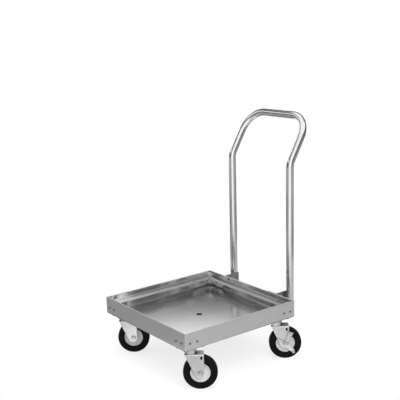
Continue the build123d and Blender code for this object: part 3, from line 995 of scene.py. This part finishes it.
@dataclass
class Tray:
    """The sheet-metal tray: hemmed walls, stepped ledges, floor and corner brackets."""

    wall_tone: float = 0.78
    # Paler tone of the hem's crest: a painted highlight along the rim.
    hem_highlight_tone: float = 0.97
    hem_rough: float = 0.42
    # Lighter tone of the ledges than the walls: painted light on the ledges.
    ledge_light_tone: float = 0.9
    ledge_rough: float = 0.32
    floor_tone: float = 0.78
    floor_rough: float = 0.18
    bracket_tone: float = 0.7
    bracket_rough: float = 0.34
    hem_depth: float = 0.006
    hem_width: float = 0.0042
    bend: float = 0.002
    flange: float = 0.009
    ledge_foot: float = 0.0085
    ledge_lip_bend: float = 0.0005
    ledge_foot_bend: float = 0.0008
    drain_radius: float = 0.0125
    # Tone of the painted shade in the drain hole.
    drain_shade_tone: float = 0.06
    weld_radius: float = 0.0016
    weld_inset: float = 0.0014
    weld_tone: float = 0.95
    weld_rough: float = 0.25
    weld_steps: int = 12

    def dress(self) -> None:
        """Build the folded sheets and give each its brushed finish, with the grain along its length."""
        along_x = BrushedSheet("sheet_along_x", self.wall_tone, grain=Grain.ALONG_X).material()
        along_y = BrushedSheet("sheet_along_y", self.wall_tone, grain=Grain.ALONG_Y).material()
        for side in SIDES:
            sheet, grain = (along_x, Grain.ALONG_X) if side in SIDES_ALONG_X else (along_y, Grain.ALONG_Y)
            # The hem's crest takes a paler, rougher copy of the wall sheet: a painted highlight along the
            # rim.
            hem = BrushedSheet(f"hem_{side}", self.hem_highlight_tone, rough=self.hem_rough, grain=grain)
            self.wall(side, sheet, hem.material())
            # The ledges take a lighter copy of the wall sheet: painted light on the ledges.
            step = BrushedSheet(f"ledge_{side}", self.ledge_light_tone, rough=self.ledge_rough, grain=grain)
            self.ledge(side, step.material())
        low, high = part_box("floor_pan")
        # Painted shade in the drain hole, dark where the floor below would show through.
        drain = Shade((low + high) / 2, self.drain_radius, self.drain_shade_tone)
        floor = BrushedSheet("floor_sheet", self.floor_tone, rough=self.floor_rough, hole=drain,
                             grain=Grain.ALONG_X)
        dress_node("floor_pan", floor.material())
        plate = BrushedSheet("bracket_plate", self.bracket_tone, rough=self.bracket_rough).material()
        for corner in CORNERS:
            dress_node(f"corner_bracket_{corner}", plate)
        self.corner_welds()

    def wall(self, side: str, sheet: bpy.types.Material, hem_highlight: bpy.types.Material) -> None:
        """Fold one wall, with its foot flange and its round hem.

        Args:
            side: The wall's side of the tray.
            sheet: Its finish.
            hem_highlight: The paler finish of the hem's crest, a painted highlight along the rim.
        """
        low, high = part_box(f"wall_{side}")
        hem = self.hem_width / 2
        folds = [(self.flange, low.z, 0.0), (0.0, low.z, self.bend), (0.0, high.z, hem),
                 (self.hem_width, high.z, hem), (self.hem_width, high.z - self.hem_depth, 0.0)]
        riding = Riding("frame", "tray_sheet", (f"wall_{side}",))
        piece = FoldedRail(side).build(f"tray_wall_{side}", folds, sheet, riding)
        piece.data.materials.append(hem_highlight)
        # Faces along the hem's crest take the painted highlight.
        for face in piece.data.polygons:
            if face.center.z > high.z - hem:
                face.material_index = 1

    def ledge(self, side: str, sheet: bpy.types.Material) -> None:
        """Fold one rack ledge: a leg on the wall, the step, its drop and the narrow foot.

        Args:
            side: The ledge's side of the tray.
            sheet: Its finish.
        """
        low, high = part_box(f"ledge_{side}")
        floor_low, floor_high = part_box("floor_pan")
        depth = (high - low)[1 if side in SIDES_ALONG_X else 0]
        edge = {"front": low.y - floor_low.y, "left": low.x - floor_low.x,
                "rear": floor_high.y - high.y, "right": floor_high.x - high.x}[side]
        step = edge + depth - self.ledge_foot
        rail = FoldedRail(side)
        foot = low.z + rail.sheet
        folds = [(edge, low.z, 0.0), (edge, high.z, self.ledge_lip_bend), (step, high.z, self.bend),
                 (step, foot, self.ledge_foot_bend), (edge + depth, foot, 0.0)]
        rail.build(f"rack_ledge_{side}", folds, sheet, Riding("frame", "tray_sheet", (f"ledge_{side}",)))

    def corner_welds(self) -> None:
        """Run a fine ground weld down each outer corner of the tray."""
        low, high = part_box("floor_pan")
        foot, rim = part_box("wall_front")
        steel = WeldBead("corner_weld", tone=self.weld_tone, rough=self.weld_rough).material()
        height = rim.z - foot.z - self.bend / 2
        radius = self.weld_radius
        outline = [(0, 0), (radius, radius), (radius, height - radius), (0, height)]
        for corner in CORNERS:
            x = low.x + self.weld_inset if "left" in corner else high.x - self.weld_inset
            y = low.y + self.weld_inset if "front" in corner else high.y - self.weld_inset
            seam = Blank()
            seam.turn(Spindle(Vector((x, y, foot.z)), UP), outline, self.weld_steps, ring=False)
            seam.finish(f"corner_weld_{corner}", steel, Riding("frame", "tray_sheet"))


@dataclass
class Handle:
    """The bent tube push handle, its bracket plates and their welds."""

    bracket_tone: float = 0.32
    bracket_rough: float = 0.36

    def dress(self) -> None:
        """Polish the tube and dress its brackets."""
        dress_node("handle_tube", PolishedTube("polished_tube").material())
        plate = BrushedSheet("handle_plate", self.bracket_tone, rough=self.bracket_rough).material()
        dress_node("handle_bracket_left", plate)
        dress_node("handle_bracket_right", plate)
        dress_node("handle_welds", WeldBead("handle_weld").material())


@dataclass
class Wheel:
    """One wheel: a black rubber tyre on a pale moulded core."""

    corner: str
    rubber: bpy.types.Material
    moulded: bpy.types.Material
    radius: float = 0.0635
    half_width: float = 0.016
    shoulder: float = 0.005
    seat_radius: float = 0.03705
    crown: float = 0.0003
    line_share: float = 0.42
    rim_half: float = 0.0135
    rim_depth: float = 0.004
    web_half: float = 0.011
    dish: float = 0.0008
    boss_radius: float = 0.013
    boss_half: float = 0.0175
    bore: float = 0.00725
    soft: float = 0.0007
    tyre_steps: int = 128
    core_steps: int = 96
    shoulder_steps: int = 8

    def build(self) -> None:
        """Turn the tyre and the core on the wheel's own axle line."""
        spindle = axle_line(self.corner)
        body = f"wheel_{self.corner}"
        tyre = Blank()
        tyre.turn(spindle, self.tyre_outline(), self.tyre_steps)
        tyre.finish(f"rubber_tyre_{self.corner}", self.rubber, Riding(body, "tyre", (f"tyre_{self.corner}",)))
        core = Blank()
        core.turn(spindle, self.core_outline(), self.core_steps)
        core.finish(f"wheel_core_{self.corner}", self.moulded, Riding(body, "hub", (f"hub_{self.corner}",)))

    def tyre_outline(self) -> Outline:
        """Draw the tyre's section: a faint crown, round shoulders and a moulded line on each sidewall.

        Returns:
            The section's points.
        """
        half, soft = self.half_width, self.soft
        corner = (self.radius - self.crown - self.shoulder, half - self.shoulder)
        line = self.seat_radius + (self.radius - self.seat_radius) * self.line_share
        side = [(self.seat_radius, half - 2 * soft), (self.seat_radius + soft, half - soft),
                (line - soft, half - soft), (line, half - soft / 2), (line + soft, half - soft),
                (line + 3 * soft, half)]
        upper = side + arc(corner, self.shoulder, 90.0, 0.0, self.shoulder_steps)
        lower = [(radius, -along) for radius, along in reversed(upper)]
        return upper + [(self.radius, 0.0)] + lower

    def core_outline(self) -> Outline:
        """Draw the core's section: a boss on the sleeve, a dished web and a rim with softened lips.

        Returns:
            The section's points.
        """
        soft, boss, web, rim = self.soft, self.boss_radius, self.web_half, self.rim_half
        inner = self.seat_radius - self.rim_depth
        upper = [(self.bore, self.boss_half - soft), (self.bore + soft, self.boss_half),
                 (boss - soft, self.boss_half), (boss, self.boss_half - soft),
                 (boss + soft, web + soft), (boss + 2 * soft, web), ((boss + inner) / 2, web - self.dish),
                 (inner - 2 * soft, web), (inner - soft, web + soft), (inner, rim - soft),
                 (inner + soft, rim), (self.seat_radius - soft, rim), (self.seat_radius, rim - soft)]
        return upper + [(radius, -along) for radius, along in reversed(upper)]


@dataclass
class AxleSet:
    """The axle bolt of one wheel with its two washers and its lock nut."""

    corner: str
    zinc: bpy.types.Material
    chamfer: float = 0.0009
    soft: float = 0.0003
    washer_bore_share: float = 0.5
    washer_steps: int = 40
    collar: float = 0.0018
    collar_share: float = 0.72
    shank_share: float = 0.575
    thread_length: float = 0.004
    thread_pitch: float = 0.0012
    thread_depth: float = 0.0004
    steps: int = 32

    def __post_init__(self) -> None:
        """Find the axle's line and start the mesh."""
        self.spindle = axle_line(self.corner)
        self.blank = Blank()

    def build(self) -> None:
        """Make the set on the CAD's own lengths, read from the node's solids."""
        spans = sorted(map(self.span, solids_of(f"axle_{self.corner}")), key=lambda span: span[1] - span[0])
        first_washer, second_washer, nut, bolt = spans
        self.washer(first_washer)
        self.washer(second_washer)
        self.nut(nut)
        under_head = -first_washer[1] if first_washer[1] < 0 else -second_washer[1]
        self.bolt(bolt, min(under_head, -bolt[0]))
        self.blank.finish(f"axle_set_{self.corner}", self.zinc,
                          Riding(f"fork_{self.corner}", "fastener", (f"axle_{self.corner}",)))

    def span(self, solid: list[Vector]) -> Triple:
        """Measure one solid along the axle.

        Args:
            solid: The solid's points.

        Returns:
            Its start, its end and its reach from the line.
        """
        radii, along = zip(*map(self.spindle.measure, solid))
        return min(along), max(along), max(radii)

    def washer(self, span: Triple) -> None:
        """Turn one washer with softened edges.

        Args:
            span: The washer's start, end and reach.
        """
        low, high, reach = span
        inner, soft = reach * self.washer_bore_share, self.soft
        outline = [(inner, low), (reach - soft, low), (reach, low + soft), (reach, high - soft),
                   (reach - soft, high), (inner, high)]
        self.blank.turn(self.spindle, outline, self.washer_steps)

    def nut(self, span: Triple) -> None:
        """Make the lock nut with its round collar.

        Args:
            span: The nut's start, end and reach.
        """
        low, high, reach = span
        rise = high - self.collar
        core = reach * self.collar_share
        self.blank.hexagon(self.spindle, 2 * reach * HEXAGON_SHARE, low, rise, self.chamfer)
        outline = [(0, rise - self.soft), (core, rise - self.soft), (core, high - self.chamfer),
                   (core - self.chamfer, high), (0, high)]
        self.blank.turn(self.spindle, outline, self.steps, ring=False)

    def bolt(self, span: Triple, washer: float) -> None:
        """Make the bolt: its hexagonal head, its shank and the threads beyond the nut.

        Args:
            span: The bolt's start, end and reach.
            washer: How far the head's washer is from the wheel's middle.
        """
        low, high, reach = span
        shank = reach * self.shank_share
        self.blank.hexagon(self.spindle, 2 * reach * HEXAGON_SHARE, low, -washer, self.chamfer)
        threads = thread_outline(shank, high - self.thread_length, high, self.thread_pitch, self.thread_depth)
        outline = [(0, -washer), (shank, -washer)] + threads + [(0, high)]
        self.blank.turn(self.spindle, outline, self.steps, ring=False)


@dataclass
class Caster:
    """One swivel caster with its mounting plate, fork, wheel, axle set and any brake."""

    corner: str
    pressed: bpy.types.Material
    zinc: bpy.types.Material
    rubber: bpy.types.Material
    moulded: bpy.types.Material

    def build(self) -> None:
        """Dress the pressed parts and build the wheel and axle set."""
        for kind in ("caster_plate", "fork"):
            dress_node(f"{kind}_{self.corner}", self.pressed)
        dress_node(f"bush_{self.corner}", self.zinc)
        if self.corner.startswith("rear"):
            dress_node(f"brake_lever_{self.corner}", self.zinc)
        Wheel(self.corner, self.rubber, self.moulded).build()
        AxleSet(self.corner, self.zinc).build()


@dataclass
class Fasteners:
    """All copies of one bolt or nut, which the CAD holds as one node."""

    node: str
    zinc: bpy.types.Material
    chamfer_share: float = 0.07
    head_share: float = 0.97
    dome_shares: tuple[Pair, ...] = ((1.0, 0.0), (1.0, 0.3), (0.93, 0.62), (0.78, 0.86))
    recess_share: float = 0.42
    recess_shares: tuple[Pair, ...] = ((1.1, 1.0), (1.0, 0.96), (0.9, 0.45), (0.0, 0.4))
    seat_margin: float = 0.001
    thread_share: float = 0.4
    thread_pitch: float = 0.0009
    thread_depth: float = 0.0003
    steps: int = 24

    def __post_init__(self) -> None:
        """Start the mesh that holds all the copies."""
        self.blank = Blank()

    def build(self) -> None:
        """Make each copy where the CAD has it."""
        make = self.nut if self.node.endswith("nuts") else self.bolt
        for solid in solids_of(self.node):
            make(solid)
        self.blank.finish(f"set_of_{self.node}", self.zinc, Riding("frame", "fastener", (self.node,)))

    @staticmethod
    def lie(solid: list[Vector], lengthwise: bool) -> tuple[Spindle, float, list[float]]:
        """Find how a copy lies along one of the three axes.

        Args:
            solid: The points of its CAD solid.
            lengthwise: True where the copy is longer than it is wide, as a bolt is.

        Returns:
            The line through its middle, half its length, and its two widths.
        """
        low = Vector([min(point[axis] for point in solid) for axis in range(3)])
        high = Vector([max(point[axis] for point in solid) for axis in range(3)])
        size = high - low
        axis = (max if lengthwise else min)(range(3), key=lambda way: size[way])
        way = Vector([float(other == axis) for other in range(3)])
        widths = [size[other] for other in range(3) if other != axis]
        return Spindle((low + high) / 2, way), size[axis] / 2, widths

    def nut(self, solid: list[Vector]) -> None:
        """Make one nut.

        Args:
            solid: The points of its CAD solid.
        """
        spindle, half, widths = self.lie(solid, lengthwise=False)
        flats = min(widths)
        self.blank.hexagon(spindle, flats, -half, half, flats * self.chamfer_share)

    def bolt(self, solid: list[Vector]) -> None:
        """Make one bolt with a domed, recessed head and threads at its end.

        Args:
            solid: The points of its CAD solid.
        """
        spindle, top, widths = self.lie(solid, lengthwise=True)
        reach = max(widths) / 2
        if max(self.head_points(spindle, solid, reach)) < 0:
            spindle = Spindle(spindle.start, -spindle.way)
        seat = min(self.head_points(spindle, solid, reach))
        below = seat - self.seat_margin
        shank = max(radius for radius, along in map(spindle.measure, solid) if along < below)
        recess = reach * self.recess_share
        head = [(radius * wide, seat + (top - seat) * rise)
                for radius, shares in ((reach, self.dome_shares), (recess, self.recess_shares))
                for wide, rise in shares]
        thread_end = (seat + top) * self.thread_share - top
        threads = thread_outline(shank, -top, thread_end, self.thread_pitch, self.thread_depth)
        self.blank.turn(spindle, [(0, -top)] + threads + [(shank, seat)] + head, self.steps, ring=False)

    def head_points(self, spindle: Spindle, solid: list[Vector], reach: float) -> list[float]:
        """Find where the widest part of a bolt lies.

        Args:
            spindle: The bolt's line.
            solid: The bolt's points.
            reach: The head's radius.

        Returns:
            The places of its points along the line.
        """
        return [along for radius, along in map(spindle.measure, solid) if radius > reach * self.head_share]


def dress_node(name: str, material: bpy.types.Material) -> None:
    """Put one material on a node of the frame.

    Args:
        name: The node's name.
        material: Its material.
    """
    node = frame["nodes"][name]
    if not node.material_slots:
        node.data.materials.append(material)
    for slot in node.material_slots:
        slot.link = "OBJECT"
        slot.material = material
    LOG.info("%s: %s", name, material.name)


def main() -> None:
    """Build the scene, piece by piece."""
    logging.basicConfig(level=logging.INFO)
    bpy.context.scene.view_settings.view_transform = "Standard"
    middle = tray_middle()
    PhotoCamera().build(middle)
    Studio(middle).build()
    Tray().dress()
    Handle().dress()
    zinc = ZincPlate("bright_zinc", tone=0.78).material()
    # The pressed plates and forks take painted shade reaching 32 mm, darkening the fork crowns under the
    # caster plates.
    pressed = ZincPlate("pressed_zinc", tone=0.8, seam_shade_reach=0.032, seam_shade_tone=0.12).material()
    rubber = TyreRubber("tyre_rubber").material()
    moulded = MouldedPlastic("wheel_core", tone=0.52).material()
    for corner in CORNERS:
        Caster(corner, pressed, zinc, rubber, moulded).build()
    dull = ZincPlate("dull_zinc", tone=0.26, rough=0.36, edge=0.0003).material()
    for group in ("corner_bolts", "corner_nuts", "handle_bolts", "handle_nuts", "plate_bolts", "plate_nuts"):
        Fasteners(group, dull).build()
    for group in ("kingpins", "swivel_balls"):
        dress_node(group, zinc)


if __name__ == "__main__":
    main()
